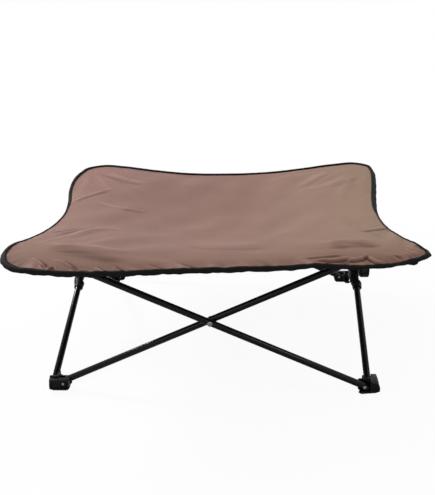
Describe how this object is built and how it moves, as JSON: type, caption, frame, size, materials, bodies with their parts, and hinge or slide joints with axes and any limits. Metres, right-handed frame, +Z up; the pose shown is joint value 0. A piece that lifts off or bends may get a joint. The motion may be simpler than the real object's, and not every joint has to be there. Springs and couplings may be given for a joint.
{
  "type": "pet hammock",
  "caption": "Folding raised pet bed: a bound cloth sheet on corner arms over crossed tubes hinged in moulded feet and top brackets.",
  "frame": {"origin": "on the floor, under the middle of the bed", "axes": "+Z up, front of the bed towards -Y, +X to the right seen from the front"},
  "size_m": [0.722, 0.7696, 0.2756],
  "materials": {
    "nylon": "satin moulded black",
    "coated_tube": "black powder coat, slight sheen",
    "rivet_steel": "plain rivet heads",
    "cloth": "matt woven cloth",
    "webbing": "matt black binding tape"
  },
  "bodies": {
    "front_left_foot": {"front_left_foot": "nylon", "front_left_foot_pin_front": "rivet_steel", "front_left_foot_pin_left": "rivet_steel"},
    "front_right_foot": {"front_right_foot": "nylon", "front_right_foot_pin_front": "rivet_steel", "front_right_foot_pin_right": "rivet_steel"},
    "rear_right_foot": {"rear_right_foot": "nylon", "rear_right_foot_pin_rear": "rivet_steel", "rear_right_foot_pin_right": "rivet_steel"},
    "rear_left_foot": {"rear_left_foot": "nylon", "rear_left_foot_pin_rear": "rivet_steel", "rear_left_foot_pin_left": "rivet_steel"},
    "front_left_top": {"front_left_top_bracket": "nylon", "front_left_top_pin_front": "rivet_steel", "front_left_top_pin_left": "rivet_steel", "front_left_arm": "coated_tube", "front_left_pocket": "webbing", "sheet_left_border": "cloth", "binding_left": "webbing"},
    "front_right_top": {"front_right_top_bracket": "nylon", "front_right_top_pin_front": "rivet_steel", "front_right_top_pin_right": "rivet_steel", "front_right_arm": "coated_tube", "front_right_pocket": "webbing", "sheet_right_border": "cloth", "binding_right": "webbing"},
    "rear_right_top": {"rear_right_top_bracket": "nylon", "rear_right_top_pin_rear": "rivet_steel", "rear_right_top_pin_right": "rivet_steel", "rear_right_arm": "coated_tube", "rear_right_pocket": "webbing"},
    "rear_left_top": {"rear_left_top_bracket": "nylon", "rear_left_top_pin_rear": "rivet_steel", "rear_left_top_pin_left": "rivet_steel", "rear_left_arm": "coated_tube", "rear_left_pocket": "webbing"},
    "front_tube_a": {"front_tube_a": "coated_tube", "front_middle_rivet": "rivet_steel"},
    "front_tube_b": {"front_tube_b": "coated_tube"},
    "rear_tube_a": {"rear_tube_a": "coated_tube"},
    "rear_tube_b": {"rear_tube_b": "coated_tube", "rear_middle_rivet": "rivet_steel"},
    "right_tube_a": {"right_tube_a": "coated_tube", "right_inner_sleeve": "nylon", "right_middle_rivet": "rivet_steel"},
    "right_tube_b": {"right_tube_b": "coated_tube", "right_outer_sleeve": "nylon"},
    "left_tube_a": {"left_tube_a": "coated_tube", "left_inner_sleeve": "nylon"},
    "left_tube_b": {"left_tube_b": "coated_tube", "left_outer_sleeve": "nylon", "left_middle_rivet": "rivet_steel"},
    "sheet_left": {"sheet_left_half": "cloth", "binding_front_left": "webbing", "binding_rear_left": "webbing"},
    "sheet_right": {"sheet_right_half": "cloth", "binding_front_right": "webbing", "binding_rear_right": "webbing"}
  },
  "joints": [
    {"name": "fold", "type": "hinge", "parent": "front_left_foot", "child": "front_tube_a", "pos_m": [-0.268, -0.2757, 0.014], "axis": [0, -1, 0], "range_deg": [0, 54], "deforming": ["sheet_left_half", "sheet_right_half", "sheet_left_border", "sheet_right_border", "binding_left", "binding_right", "binding_front_left", "binding_front_right", "binding_rear_left", "binding_rear_right"]},
    {"name": "front_cross", "type": "hinge", "parent": "front_tube_a", "child": "front_tube_b", "pos_m": [0, -0.282, 0.13332], "axis": [0, -1, 0], "range_deg": [-108, 0]},
    {"name": "front_right_foot_turn", "type": "hinge", "parent": "front_tube_b", "child": "front_right_foot", "pos_m": [0.268, -0.2883, 0.014], "axis": [0, -1, 0], "range_deg": [0, 54]},
    {"name": "front_right_top_turn", "type": "hinge", "parent": "front_tube_a", "child": "front_right_top", "pos_m": [0.268, -0.2757, 0.25264], "axis": [0, -1, 0], "range_deg": [-54, 0]},
    {"name": "front_left_top_turn", "type": "hinge", "parent": "front_tube_b", "child": "front_left_top", "pos_m": [-0.268, -0.2883, 0.25264], "axis": [0, -1, 0], "range_deg": [0, 54]},
    {"name": "right_tube_lift", "type": "hinge", "parent": "front_right_foot", "child": "right_tube_a", "pos_m": [0.2757, -0.268, 0.014], "axis": [1, 0, 0], "range_deg": [0, 54]},
    {"name": "right_cross", "type": "hinge", "parent": "right_tube_a", "child": "right_tube_b", "pos_m": [0.282, 0, 0.13332], "axis": [1, 0, 0], "range_deg": [-108, 0]},
    {"name": "rear_right_foot_turn", "type": "hinge", "parent": "right_tube_b", "child": "rear_right_foot", "pos_m": [0.2883, 0.268, 0.014], "axis": [1, 0, 0], "range_deg": [0, 54]},
    {"name": "rear_right_top_turn", "type": "hinge", "parent": "right_tube_a", "child": "rear_right_top", "pos_m": [0.2757, 0.268, 0.25264], "axis": [1, 0, 0], "range_deg": [-54, 0]},
    {"name": "left_tube_lift", "type": "hinge", "parent": "front_left_foot", "child": "left_tube_b", "pos_m": [-0.2883, -0.268, 0.014], "axis": [1, 0, 0], "range_deg": [0, 54]},
    {"name": "left_cross", "type": "hinge", "parent": "left_tube_b", "child": "left_tube_a", "pos_m": [-0.282, 0, 0.13332], "axis": [1, 0, 0], "range_deg": [-108, 0]},
    {"name": "rear_left_foot_turn", "type": "hinge", "parent": "left_tube_a", "child": "rear_left_foot", "pos_m": [-0.2757, 0.268, 0.014], "axis": [1, 0, 0], "range_deg": [0, 54]},
    {"name": "rear_left_top_turn", "type": "hinge", "parent": "left_tube_b", "child": "rear_left_top", "pos_m": [-0.2883, 0.268, 0.25264], "axis": [1, 0, 0], "range_deg": [-54, 0]},
    {"name": "rear_tube_lift", "type": "hinge", "parent": "rear_left_foot", "child": "rear_tube_b", "pos_m": [-0.268, 0.2883, 0.014], "axis": [0, -1, 0], "range_deg": [0, 54]},
    {"name": "rear_cross", "type": "hinge", "parent": "rear_tube_b", "child": "rear_tube_a", "pos_m": [0, 0.282, 0.13332], "axis": [0, -1, 0], "range_deg": [-108, 0]},
    {"name": "sheet_left_fold", "type": "hinge", "parent": "front_left_top", "child": "sheet_left", "pos_m": [-0.25, 0, 0.262], "axis": [0, 1, 0], "range_deg": [0, 79.68]},
    {"name": "sheet_right_fold", "type": "hinge", "parent": "front_right_top", "child": "sheet_right", "pos_m": [0.25, 0, 0.262], "axis": [0, -1, 0], "range_deg": [0, 79.68]}
  ],
  "couplings": [
    {"joint": "front_cross", "follows": "fold", "ratio": -2},
    {"joint": "front_right_foot_turn", "follows": "fold", "ratio": 1},
    {"joint": "front_right_top_turn", "follows": "fold", "ratio": -1},
    {"joint": "front_left_top_turn", "follows": "fold", "ratio": 1},
    {"joint": "right_tube_lift", "follows": "fold", "ratio": 1},
    {"joint": "right_cross", "follows": "fold", "ratio": -2},
    {"joint": "rear_right_foot_turn", "follows": "fold", "ratio": 1},
    {"joint": "rear_right_top_turn", "follows": "fold", "ratio": -1},
    {"joint": "left_tube_lift", "follows": "fold", "ratio": 1},
    {"joint": "left_cross", "follows": "fold", "ratio": -2},
    {"joint": "rear_left_foot_turn", "follows": "fold", "ratio": 1},
    {"joint": "rear_left_top_turn", "follows": "fold", "ratio": -1},
    {"joint": "rear_tube_lift", "follows": "fold", "ratio": 1},
    {"joint": "rear_cross", "follows": "fold", "ratio": -2},
    {"joint": "sheet_left_fold", "follows": "fold", "ratio": 1.4747},
    {"joint": "sheet_right_fold", "follows": "fold", "ratio": 1.4747}
  ]
}
